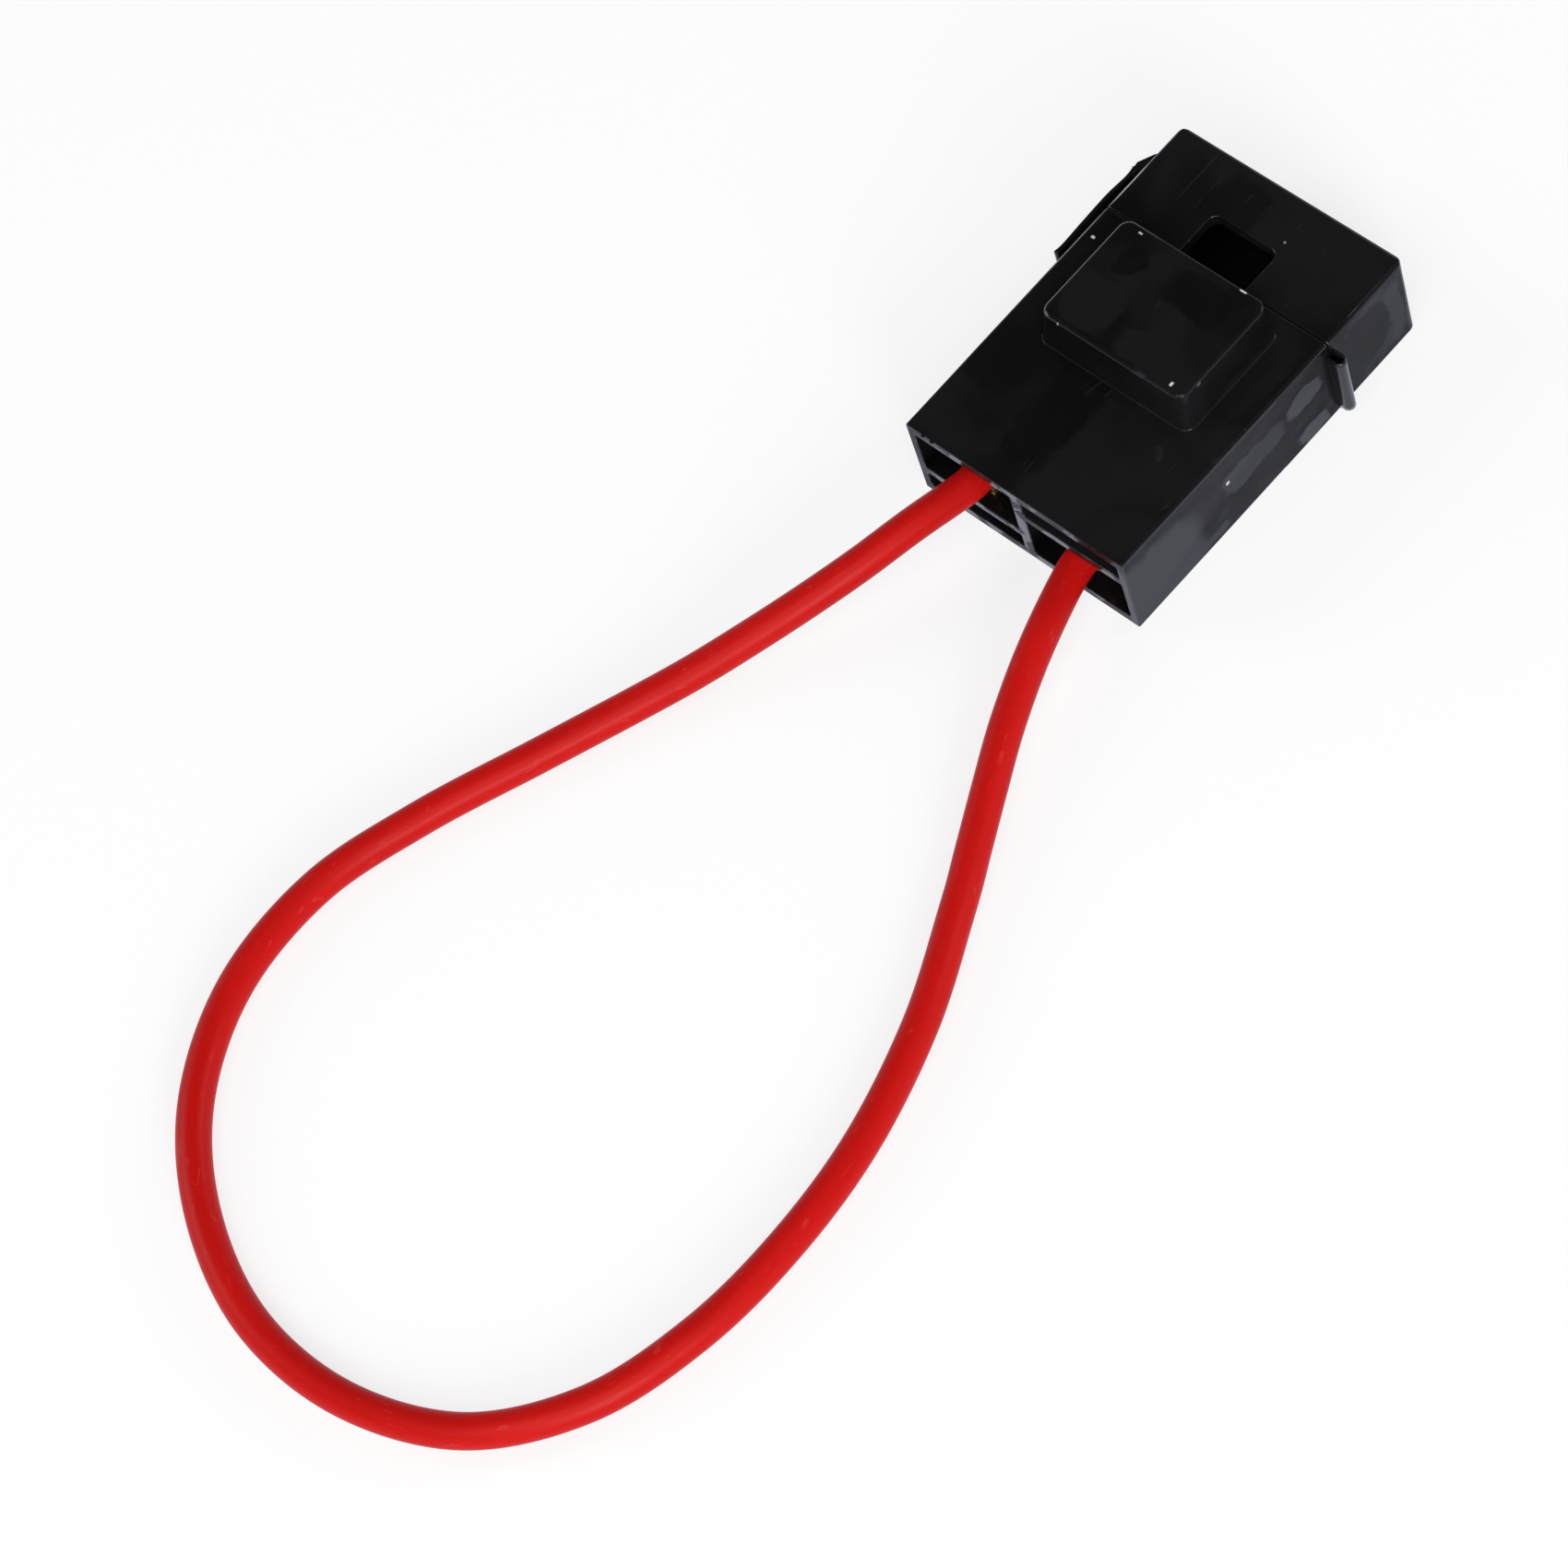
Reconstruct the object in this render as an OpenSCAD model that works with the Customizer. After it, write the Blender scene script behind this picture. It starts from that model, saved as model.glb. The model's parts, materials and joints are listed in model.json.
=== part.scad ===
// Inline blade fuse holder with a flip cap on a living hinge, and its wire still one loop.
// Origin: centre of the back face. +X: hinge side, +Y: cap end, +Z: out of the back face.

/* [Housing] */
// Width at the parting line
body_w = 24; // [23:0.5:30]
// Thickness, back face to top face
body_t = 9.8; // [9.4:0.1:12]
// Length from the wire end to the parting line
body_l = 25.8; // [25:0.2:32]
// Moulding draft: how much each side comes in at the wire end
side_draft = 0.15; // [0:0.05:0.3]
// Rounding of the long edges
edge_r = 0.4; // [0.2:0.05:0.5]
// Wall around the wire cells
cell_wall = 1; // [0.8:0.1:1.4]
// Wall between the two wire cells
partition_t = 1.2; // [0.8:0.1:2]
// Thickness of the shelf that each terminal lies on
shelf_t = 0.9; // [0.7:0.1:1.2]
// Height of the release slot behind each shelf
slot_h = 1.8; // [1.5:0.1:2]
// Thickness of the deck under the fuse
deck_t = 1.2; // [0.8:0.1:2]
// Depth of the fuse socket below the parting line
socket_depth = 3.8; // [3:0.1:5]

/* [Fuse that it takes] */
// Width of the fuse body
fuse_w = 19.1; // [18.5:0.1:19.5]
// Thickness of the fuse body
fuse_t = 5.1; // [4.5:0.1:5.4]
// Height of the fuse body above its blades
fuse_h = 12.3; // [11.5:0.1:13]
// Width of one blade
blade_w = 5.2; // [4.8:0.1:5.4]
// Thickness of one blade
blade_t = 0.8; // [0.6:0.05:0.8]
// Centre distance of the blades
blade_pitch = 9.4; // [9:0.1:10]
// Room around the fuse body
fuse_play = 0.2; // [0.1:0.05:0.3]
// Room around each blade in the deck
blade_play = 0.3; // [0.2:0.05:0.4]

/* [Cap] */
// Gap at the parting line
parting_gap = 0.1; // [0.1:0.05:0.3]
// Side walls of the cap
cap_wall = 1.2; // [1:0.1:1.3]
// End wall of the cap
cap_end_t = 1.3; // [1:0.1:2]
// Room between the fuse and the cap's end wall
cap_head = 0.2; // [0.1:0.1:1]
// Plan radius of the cap's outer corners
cap_corner_r = 1; // [0.6:0.1:1.5]
// Width of the window in the cap's top face
window_w = 7; // [5:0.5:10]
// Length of the window from the parting line
window_l = 4.5; // [3:0.5:6]
// Distance of the window from the centre line
window_shift = 0.5; // [0:0.1:1.5]
// Corner radius of the window
window_r = 0.8; // [0.4:0.1:1.5]
// Height of the locating lip that enters the cap
lip_h = 1.5; // [1:0.1:2]
// Side clearance between the lip and the cap
lip_play = 0.15; // [0.1:0.05:0.25]

/* [Living hinge] */
// Thickness of the strip
strip_t = 0.3; // [0.2:0.05:0.35]
// Width of the strip, along the hinge axis
strip_w = 7; // [4:0.5:7.5]
// Outside radius of the fold
fold_r = 0.6; // [0.5:0.05:0.8]
// Distance of the fold's axis from the side face
fold_reach = 1; // [0.8:0.05:1.2]

/* [Latch] */
// Width of the latch arm
latch_w = 7; // [4:0.5:7.5]
// Thickness of the latch arm
latch_t = 0.4; // [0.3:0.05:0.6]
// Distance from the side face to the middle of the arm
latch_reach = 1.25; // [1.2:0.05:1.6]
// How far the arm hangs below the parting line
latch_drop = 5.4; // [5:0.1:7]
// Distance from the hinge line to the top of the catch
catch_drop = 2.2; // [1.8:0.1:2.4]
// Width of the catch on the body
catch_w = 3; // [2:0.5:4]
// How far the catch stands out of the side face
catch_out = 0.6; // [0.4:0.05:0.7]
// Length of the catch
catch_l = 1.6; // [1.2:0.1:2]
// Bite of the hook under the catch
latch_bite = 0.05; // [0.02:0.01:0.06]
// Gap between the hook and the catch with the cap closed
latch_slack = 0.6; // [0.5:0.05:1]

/* [Mounting pocket] */
// Width of the raised pocket at its base
boss_w = 16.4; // [14:0.2:18]
// Length of the raised pocket at its base
boss_l = 11.8; // [9:0.2:13]
// Height of the raised pocket
boss_h = 4; // [3:0.1:5]
// Side draft of the raised pocket
boss_draft = 0.5; // [0.2:0.1:0.8]
// Distance from the pocket's mouth to the parting line
boss_gap = 1.4; // [1:0.1:3]
// Plan radius of the pocket's outer corners
boss_corner_r = 1.1; // [0.6:0.1:1.5]
// Rounding of the pocket's roof
boss_round = 0.35; // [0.2:0.05:0.5]
// Walls and roof of the pocket
boss_wall = 1.2; // [1:0.1:1.5]

/* [Terminals] */
// Thickness of the brass strip
brass_t = 0.4; // [0.3:0.05:0.45]
// Width of the strip between the crimps
spine_w = 3; // [2.6:0.1:3.6]
// Distance from the wire end to the insulation crimp
crimp_inset = 1.2; // [0.8:0.1:2]
// Length of the insulation crimp
grip_l = 2.2; // [1.5:0.1:3]
// Length of the conductor crimp
barrel_l = 3.2; // [2.5:0.1:4]
// Gap between the two crimps
crimp_gap = 1.2; // [1:0.1:1.6]
// Clear width inside the receptacle
throat_w = 7.6; // [7.2:0.1:8]
// Length of the receptacle
throat_l = 7.9; // [6:0.1:8.5]
// Inside radius of the rolled edges
roll_r = 1.1; // [0.9:0.05:1.2]
// Gap between the receptacle and the deck
deck_gap = 0.3; // [0.2:0.1:0.6]
// Length of the raised tongue that bears on the blade
tongue_l = 2.4; // [1.5:0.1:3]
// Ramp before and after the tongue
tongue_ramp = 2; // [1.5:0.1:2.2]
// Distance from the receptacle to the lance's root
lance_gap = 0.6; // [0.4:0.1:1]
// Width of the locking lance
lance_w = 1.6; // [1.2:0.1:2]
// Length of the locking lance
lance_l = 2.6; // [2:0.1:3]
// How far the lance's tip bends down through the shelf
lance_dip = 1.1; // [1:0.1:1.3]
// Room around the lance in its window
lance_play = 0.2; // [0.15:0.05:0.3]

/* [Wire] */
// Outside diameter of the insulated wire
wire_d = 3; // [2.6:0.1:3.2]
// Diameter of the stranded conductor
conductor_d = 1.9; // [1.5:0.1:2]
// How far the insulation reaches past its crimp
insulation_reach = 0.5; // [0.2:0.1:1]
// How far the stripped strands reach past the conductor crimp
strand_reach = 0.8; // [0.2:0.1:1.5]

/* [Hidden] */
$fn = 64;

// Overrun of a cut past its face, and how deep a joined piece starts inside its neighbour
over = 1;
sunk = 0.1;
half_w = body_w / 2;
mid_z = body_t / 2;

// Stations along the length, the wire end first
wire_end = -17.9;
parting = wire_end + body_l;
cap_start = parting + parting_gap;
socket_floor = parting - socket_depth;
deck_back = socket_floor - deck_t;
cap_inside = socket_floor + fuse_h + cap_head;
cap_end = cap_inside + cap_end_t;
hinge_y = parting + parting_gap / 2;
hinge_x = half_w + fold_reach;

// Wire cells: the left one has its shelf below, the right one is the same turned over
shelf_top = cell_wall + slot_h + shelf_t;
cell_x0 = partition_t / 2;
cell_x1 = half_w - cell_wall;
cell_x = (cell_x0 + cell_x1) / 2;
cell_w = cell_x1 - cell_x0;

// Fuse socket and lip
socket_w = fuse_w + 2 * fuse_play;
socket_t = fuse_t + 2 * fuse_play;
lip_w = body_w - 2 * cap_wall - 2 * lip_play;
lip_t = body_t - 2 * cap_wall - 2 * lip_play;

// Pocket for a mounting tab
boss_end = parting - boss_gap;
boss_start = boss_end - boss_l;

// Terminal stations
grip_start = wire_end + crimp_inset;
grip_end = grip_start + grip_l;
barrel_start = grip_end + crimp_gap;
barrel_end = barrel_start + barrel_l;
throat_end = deck_back - deck_gap;
throat_start = throat_end - throat_l;
tongue_y = (throat_start + throat_end - tongue_l) / 2;
lance_root = throat_start - lance_gap;
lance_tip = lance_root - lance_l;
strip_end = grip_end + insulation_reach;
brass_top = shelf_top + brass_t;
wire_z = brass_top + wire_d / 2;
barrel_z = brass_top + conductor_d / 2;
roll_x = throat_w / 2 - roll_r;
roll_z = brass_top + roll_r;
blade_top = mid_z + blade_t / 2;
blade_foot = mid_z - blade_t / 2;

// Middle of the latch arm, and its root on the cap: distance from the side face, then
// height above the hinge line
latch_line = [[latch_reach + 0.1, 5], [latch_reach, 3.8], [latch_reach + 0.15, 1.6],
              [latch_reach + 0.1, -1.4], [latch_reach, -latch_drop + 1.1],
              [latch_reach + 0.12, -latch_drop]];
latch_root = [[-0.5, 7.7], [0, 7.7], [0.8, 7], [latch_reach + 0.3, 5.5], [latch_reach + 0.15, 4.4],
              [latch_reach - 0.2, 4.6], [latch_reach - 0.6, 5], [0, 5.2], [-0.5, 5.2]];
// Foot of the catch and thickness of the hook below it
catch_foot = -catch_drop - catch_l;
hook_t = 0.9;

// Route of the free wire, from the left terminal round to the right one
route = [
    [-5.8, -14, 5.6], [-5.8, -16.5, 5.6], [-5.9, -18.4, 5.7], [-7.1, -23.5, 5.8],
    [-8.5, -28.7, 5.3], [-10.2, -33.4, 4.5], [-12.1, -38, 3.6], [-14.4, -43.2, 2.6],
    [-16.8, -48.3, 1.9], [-20.8, -57.5, 1.5], [-24.8, -67.4, 1.5], [-27.4, -77.1, 1.5],
    [-26.6, -87.5, 1.5], [-21.9, -96.9, 1.5], [-14.2, -103.8, 1.5], [-4.4, -108, 1.5],
    [6.2, -108.2, 1.5], [15.9, -104.3, 1.5], [22.3, -96.6, 1.5], [25.2, -87.2, 1.5],
    [25.9, -77.5, 1.5], [24.9, -67.1, 1.5], [21.8, -56.3, 1.5], [17.3, -46.6, 1.5],
    [15, -42, 1.8], [12.7, -37.3, 2.3], [10.5, -32.6, 2.9], [8.6, -27.7, 3.5],
    [7.2, -23.2, 4], [6, -18.7, 4.2], [5.8, -16.5, 4.2], [5.8, -14, 4.2]
];
tube_sides = 8;
spans_per_point = 2;

// A smooth curve through the points of a list
function curve_point(a, b, c, d, t) =
    0.5 * (2 * b + (c - a) * t + (2 * a - 5 * b + 4 * c - d) * pow(t, 2)
           + (3 * b - a - 3 * c + d) * pow(t, 3));
function smooth(points, spans) =
    let (last = len(points) - 1)
    concat(
        [for (i = [0 : last - 1]) for (s = [0 : spans - 1])
            curve_point(points[max(i - 1, 0)], points[i], points[i + 1],
                        points[min(i + 2, last)], s / spans)],
        [points[last]]);
function unit(v) = v / norm(v);
function heading(line, i) = unit(line[min(i + 1, len(line) - 1)] - line[max(i - 1, 0)]);

// A strip of even thickness along a plane curve
function ribbon(line, thick) =
    let (last = len(line) - 1,
         side = [for (i = [0 : last]) let (h = heading(line, i)) [h[1], -h[0]] * thick / 2])
    concat([for (i = [0 : last]) line[i] + side[i]],
           [for (i = [last : -1 : 0]) line[i] - side[i]]);

// One ring of the wire's skin, square to its route
function ring(centre, along, radius) =
    let (side = unit(cross(along, [0, 0, 1])), up = cross(side, along))
    [for (k = [0 : tube_sides - 1])
        let (a = (k + 0.5) * 360 / tube_sides)
        centre + radius * (cos(a) * side + sin(a) * up)];

module tube(points, diameter) {
    line = [for (p = smooth(points, spans_per_point)) [p[0], p[1], max(p[2], diameter / 2)]];
    last = len(line) - 1;
    skin = [for (i = [0 : last]) each ring(line[i], heading(line, i), diameter / 2)];
    sides = [for (i = [0 : last - 1]) for (k = [0 : tube_sides - 1])
        let (a = i * tube_sides + k, b = i * tube_sides + (k + 1) % tube_sides)
        [a, a + tube_sides, b + tube_sides, b]];
    start = [for (k = [0 : tube_sides - 1]) k];
    finish = [for (k = [tube_sides - 1 : -1 : 0]) last * tube_sides + k];
    polyhedron(points = skin, faces = concat(sides, [start, finish]), convexity = 6);
}

// A rectangle about the origin with round corners
module round_rect(w, h, r) {
    square([w - 2 * r, h], center = true);
    square([w, h - 2 * r], center = true);
    for (x = [-1, 1]) {
        for (y = [-1, 1]) {
            translate([x * (w / 2 - r), y * (h / 2 - r)]) circle(r = r);
        }
    }
}

// A block along Y from y0 to y1, with its section about the housing's middle
module bar(w, h, y0, y1, r = 0.3) {
    translate([0, y1, mid_z]) rotate([90, 0, 0]) linear_extrude(y1 - y0) round_rect(w, h, r);
}

// A flat outline in X and Y, raised from z0 to z1
module slab(z0, z1) {
    translate([0, 0, z0]) linear_extrude(z1 - z0) children();
}

// The same piece for the right cell: turned half round about the housing's long middle line
module turned_over() {
    translate([0, 0, body_t]) rotate([0, 180, 0]) children();
}

module in_both_cells() {
    children();
    turned_over() children();
}

// Plain block of the body, with its round long edges and the sides' draft
module body_block() {
    intersection() {
        bar(body_w, body_t, wire_end, parting, edge_r);
        slab(-over, body_t + over) polygon([
            [-half_w + side_draft, wire_end], [half_w - side_draft, wire_end],
            [half_w, parting], [-half_w, parting]]);
    }
}

// Cavity, release slot and lance window of the left wire cell
module cell_space() {
    x0 = -cell_x - cell_w / 2;
    depth = deck_back - wire_end + over;
    translate([x0, wire_end - over, shelf_top])
        cube([cell_w, depth, body_t - cell_wall - shelf_top]);
    translate([x0, wire_end - over, cell_wall]) cube([cell_w, depth, slot_h]);
    translate([-cell_x - lance_w / 2 - lance_play, lance_tip - lance_play, cell_wall])
        cube([lance_w + 2 * lance_play, lance_l + 2 * lance_play, shelf_top - cell_wall + 0.1]);
}

// Slot in the deck for one fuse blade
module blade_slot() {
    w = blade_w + 2 * blade_play;
    t = blade_t + 2 * blade_play;
    translate([-blade_pitch / 2 - w / 2, deck_back - over, mid_z - t / 2])
        cube([w, deck_t + 2 * over, t]);
}

// Lip that enters the cap, open behind the cap's window
module lip() {
    difference() {
        bar(lip_w, lip_t, parting - over, parting + lip_h);
        translate([-window_shift - window_w / 2 - lip_play, parting, body_t / 2])
            cube([window_w + 2 * lip_play, lip_h + over, body_t]);
    }
}

// Raised pocket: drafted, with round corners and a rounded roof
module boss_block() {
    hull() {
        for (x = [-1, 1]) {
            for (y = [boss_start + boss_corner_r, boss_end - boss_corner_r]) {
                inward = boss_draft * (y > (boss_start + boss_end) / 2 ? 0 : 1);
                translate([x * (boss_w / 2 - boss_corner_r), y, body_t - over])
                    cylinder(r = boss_corner_r, h = over, $fn = 32);
                translate([x * (boss_w / 2 - boss_corner_r - boss_draft), y + inward,
                           body_t + boss_h - boss_round])
                    rounded_disc(boss_corner_r, boss_round);
            }
        }
    }
}

// A flat disc with its upper edge rounded over
module rounded_disc(r, edge) {
    rotate_extrude($fn = 32) {
        translate([r - edge, 0]) intersection() {
            circle(r = edge, $fn = 24);
            square(edge);
        }
        square([r - edge, edge]);
    }
}

module boss_pocket() {
    w = boss_w - 2 * boss_draft - 2 * boss_wall;
    h = boss_h - boss_wall;
    y0 = boss_start + boss_draft + boss_wall;
    translate([-w / 2, y0, body_t]) cube([w, boss_end - y0 + over, h]);
}

// Catch on the left side: square below, ramped above
module catch() {
    root = -half_w + side_draft + sunk;
    tip = -half_w - catch_out;
    translate([0, hinge_y, mid_z]) linear_extrude(catch_w, center = true) polygon([
        [root, -catch_drop], [root, catch_foot], [tip, catch_foot], [tip, catch_foot + catch_l / 2]]);
}

module body_shell() {
    color("#1c1c20") difference() {
        union() {
            body_block();
            lip();
            boss_block();
            catch();
        }
        in_both_cells() {
            cell_space();
            blade_slot();
        }
        bar(socket_w, socket_t, socket_floor, parting + lip_h + over);
        boss_pocket();
    }
}

// A rectangle from y 0 up, centred on x 0, with its two far corners round
module tab_outline(w, l, r) {
    translate([-w / 2, 0]) square([w, l - r]);
    translate([r - w / 2, 0]) square([w - 2 * r, l]);
    for (x = [-1, 1]) {
        translate([x * (w / 2 - r), l - r]) circle(r = r);
    }
}

// Cap block: the same section as the body, closed by a rounded end
module cap_block() {
    cap_l = cap_end - cap_start;
    intersection() {
        bar(body_w, body_t, cap_start, cap_end, edge_r);
        translate([0, cap_start]) slab(0, body_t) tab_outline(body_w, cap_l, cap_corner_r);
        translate([0, cap_start, mid_z]) rotate([0, 90, 0])
            linear_extrude(body_w, center = true) tab_outline(body_t, cap_l, edge_r);
    }
}

// Window in the cap's top face, open at the parting line
module window() {
    translate([-window_shift, cap_start + window_l / 2 - over / 2, mid_z])
        linear_extrude(body_t) round_rect(window_w, window_l + over, window_r);
    translate([-window_shift - window_w / 2, cap_start - over, mid_z])
        cube([window_w, over + window_r, body_t]);
}

// Hook on the inside of the latch arm, under the catch
module hook() {
    top = catch_foot - latch_slack;
    tip = -half_w - catch_out + latch_bite;
    root = -half_w - latch_reach;
    translate([0, hinge_y, mid_z]) linear_extrude(catch_w, center = true) polygon([
        [root, top], [tip - hook_t / 9, top], [tip, top - hook_t / 9], [tip, top - hook_t / 3],
        [root, top - hook_t]]);
}

module latch_arm() {
    translate([-half_w, hinge_y, mid_z]) mirror([1, 0, 0])
        linear_extrude(latch_w, center = true) {
            polygon(ribbon(smooth(latch_line, 6), latch_t));
            polygon(latch_root);
        }
    hook();
}

module cap_shell() {
    color("#1c1c20") union() {
        difference() {
            cap_block();
            bar(body_w - 2 * cap_wall, body_t - 2 * cap_wall, cap_start - over, cap_inside, 0.5);
            window();
        }
        latch_arm();
    }
}

module fold(r) {
    circle(r = r, $fn = 48);
    translate([-fold_reach, -r]) square([fold_reach, 2 * r]);
}

// Strip folded outwards between the body's side and the cap's side
module living_hinge() {
    color("#26262b") translate([hinge_x, hinge_y, mid_z])
        linear_extrude(strip_w, center = true) difference() {
            fold(fold_r);
            translate([-0.001, 0]) fold(fold_r - strip_t);
            translate([-fold_reach - 1, -fold_r]) square([1, 2 * fold_r]);
        }
}

// Closed crimp seen end on, with a seam of the given angle at the top
module crimp_ring(inner_r, seam) {
    difference() {
        circle(r = inner_r + brass_t, $fn = 48);
        circle(r = inner_r, $fn = 48);
        polygon([[0, 0], 3 * inner_r * [sin(seam / 2), cos(seam / 2)],
                 3 * inner_r * [-sin(seam / 2), cos(seam / 2)]]);
    }
}

// Rolled edge of the receptacle: the strip turns up, over and back down onto the blade
module rolled_edge() {
    drop = asin((blade_top - roll_z) / (roll_r + brass_t / 2));
    far = 3 * roll_r;
    difference() {
        circle(r = roll_r + brass_t, $fn = 48);
        circle(r = roll_r, $fn = 48);
        polygon([[0, 0], far * [-cos(drop), sin(drop)], [-far, -far], [0, -far]]);
    }
}

module along_y(y0, y1) {
    translate([0, y1, 0]) rotate([90, 0, 0]) linear_extrude(y1 - y0) children();
}

// Left terminal, lying on its shelf
module terminal() {
    hole_w = lance_w + lance_play;
    translate([-cell_x, 0, 0]) {
        difference() {
            slab(shelf_top, brass_top) polygon([
                [-spine_w / 2, grip_start], [spine_w / 2, grip_start],
                [spine_w / 2, lance_tip], [roll_x, throat_start], [roll_x, throat_end],
                [-roll_x, throat_end], [-roll_x, throat_start], [-spine_w / 2, lance_tip]]);
            translate([-hole_w / 2, lance_tip - lance_play, shelf_top - over])
                cube([hole_w, lance_l + lance_play, 3 * over]);
            along_y(grip_start - over, grip_end + over)
                translate([0, wire_z]) circle(r = wire_d / 2, $fn = 48);
            along_y(barrel_start - over, barrel_end + over)
                translate([0, barrel_z]) circle(r = conductor_d / 2, $fn = 48);
        }
        along_y(grip_start, grip_end) translate([0, wire_z]) crimp_ring(wire_d / 2, 50);
        along_y(barrel_start, barrel_end) translate([0, barrel_z]) crimp_ring(conductor_d / 2, 14);
        along_y(throat_start, throat_end) for (side = [0, 1]) {
            mirror([side, 0]) translate([roll_x, roll_z]) rolled_edge();
        }
        // Lance, bent down through the shelf's window
        rotate([90, 0, 90]) linear_extrude(lance_w, center = true) polygon([
            [lance_root + sunk, shelf_top], [lance_root + sunk, brass_top], [lance_root, brass_top],
            [lance_tip, brass_top - lance_dip], [lance_tip, shelf_top - lance_dip]]);
        // Raised tongue that presses the blade against the rolled edges
        rotate([90, 0, 90]) linear_extrude(spine_w, center = true) polygon([
            [tongue_y - tongue_ramp, brass_top - sunk], [tongue_y, blade_foot],
            [tongue_y + tongue_l, blade_foot], [tongue_y + tongue_l + tongue_ramp, brass_top - sunk]]);
    }
}

module terminal_left() {
    color("#c9a253") terminal();
}

module terminal_right() {
    color("#c9a253") turned_over() terminal();
}

// Stripped conductor: seven strands pressed together in the crimp
module strands() {
    strand_r = conductor_d / 6;
    translate([-cell_x, 0, 0]) along_y(strip_end, barrel_end + strand_reach)
        translate([0, barrel_z]) {
            circle(r = strand_r * 1.08, $fn = 24);
            for (k = [0 : 5]) {
                rotate(60 * k) translate([2 * strand_r, 0]) circle(r = strand_r * 1.08, $fn = 24);
            }
        }
}

module strands_left() {
    color("#b8733f") strands();
}

module strands_right() {
    color("#b8733f") turned_over() strands();
}

module wire_loop() {
    color("#bd1d17") tube(route, wire_d);
}

body_shell();
cap_shell();
living_hinge();
terminal_left();
terminal_right();
strands_left();
strands_right();
wire_loop();
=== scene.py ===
import json
import math
import random
import bmesh
import bpy
from mathutils import Matrix, Vector


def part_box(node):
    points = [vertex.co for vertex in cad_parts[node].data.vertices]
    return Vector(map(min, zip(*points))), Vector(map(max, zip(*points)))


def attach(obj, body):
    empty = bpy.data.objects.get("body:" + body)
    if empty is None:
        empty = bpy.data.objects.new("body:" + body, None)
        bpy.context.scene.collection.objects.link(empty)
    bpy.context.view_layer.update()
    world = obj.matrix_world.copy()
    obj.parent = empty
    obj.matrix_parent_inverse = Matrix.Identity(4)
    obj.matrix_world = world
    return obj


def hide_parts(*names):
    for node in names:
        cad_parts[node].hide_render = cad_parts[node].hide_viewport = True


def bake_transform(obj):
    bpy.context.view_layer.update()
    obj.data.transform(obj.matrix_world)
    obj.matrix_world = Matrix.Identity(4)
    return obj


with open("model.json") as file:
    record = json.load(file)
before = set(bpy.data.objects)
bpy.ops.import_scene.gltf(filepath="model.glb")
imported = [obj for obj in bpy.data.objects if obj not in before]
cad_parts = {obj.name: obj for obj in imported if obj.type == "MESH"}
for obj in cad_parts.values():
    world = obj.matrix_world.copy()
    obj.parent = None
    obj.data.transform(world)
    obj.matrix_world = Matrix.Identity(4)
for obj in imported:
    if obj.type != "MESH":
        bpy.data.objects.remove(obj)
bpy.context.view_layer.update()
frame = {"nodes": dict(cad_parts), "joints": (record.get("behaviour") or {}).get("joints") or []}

scene = bpy.context.scene
nodes = frame["nodes"]

# Camera, standing where the photograph was taken from
photoView = {
    "place": (0.214777, -0.160908, 0.407807),
    "forward": (-0.456615, 0.240842, -0.856445),
    "up": (-0.514195, 0.714147, 0.474970),
    "focalPixels": 6312.2,
    "framePixels": 1700,
    "sensor": 36.0,
}


def addCamera(look):
    lens = bpy.data.cameras.new("photoCamera")
    lens.sensor_width = look["sensor"]
    lens.lens = look["sensor"] * look["focalPixels"] / look["framePixels"]
    lens.clip_start = 0.01
    lens.clip_end = 20
    forward = Vector(look["forward"]).normalized()
    right = forward.cross(Vector(look["up"])).normalized()
    turn = Matrix((right, right.cross(forward), -forward)).transposed()
    camera = bpy.data.objects.new("photoCamera", lens)
    camera.matrix_world = Matrix.Translation(look["place"]) @ turn.to_4x4()
    scene.collection.objects.link(camera)
    scene.camera = camera


addCamera(photoView)
print("camera placed")

# The wire: one uncut loop from the left terminal round to the right one, lying on the table
wireLead = {
    "diameter": 0.003,
    "length": 0.228,
    "stepsPerPoint": 14,
    "sides": 40,
    "route": [
        (-0.0058, -0.0140, 0.0056), (-0.0058, -0.0165, 0.0056), (-0.0059, -0.0184, 0.0057),
        (-0.0071, -0.0235, 0.0058), (-0.0085, -0.0287, 0.0053), (-0.0102, -0.0334, 0.0045),
        (-0.0121, -0.0380, 0.0036), (-0.0144, -0.0432, 0.0026), (-0.0168, -0.0483, 0.0019),
        (-0.0208, -0.0575, 0.0015), (-0.0248, -0.0674, 0.0015), (-0.0274, -0.0771, 0.0015),
        (-0.0266, -0.0875, 0.0015), (-0.0219, -0.0969, 0.0015), (-0.0142, -0.1038, 0.0015),
        (-0.0044, -0.1080, 0.0015), (0.0062, -0.1082, 0.0015), (0.0159, -0.1043, 0.0015),
        (0.0223, -0.0966, 0.0015), (0.0252, -0.0872, 0.0015), (0.0259, -0.0775, 0.0015),
        (0.0249, -0.0671, 0.0015), (0.0218, -0.0563, 0.0015), (0.0173, -0.0466, 0.0015),
        (0.0150, -0.0420, 0.0018), (0.0127, -0.0373, 0.0023), (0.0105, -0.0326, 0.0029),
        (0.0086, -0.0277, 0.0035), (0.0072, -0.0232, 0.0040), (0.0060, -0.0187, 0.0042),
        (0.0058, -0.0165, 0.0042), (0.0058, -0.0140, 0.0042),
    ],
}


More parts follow.
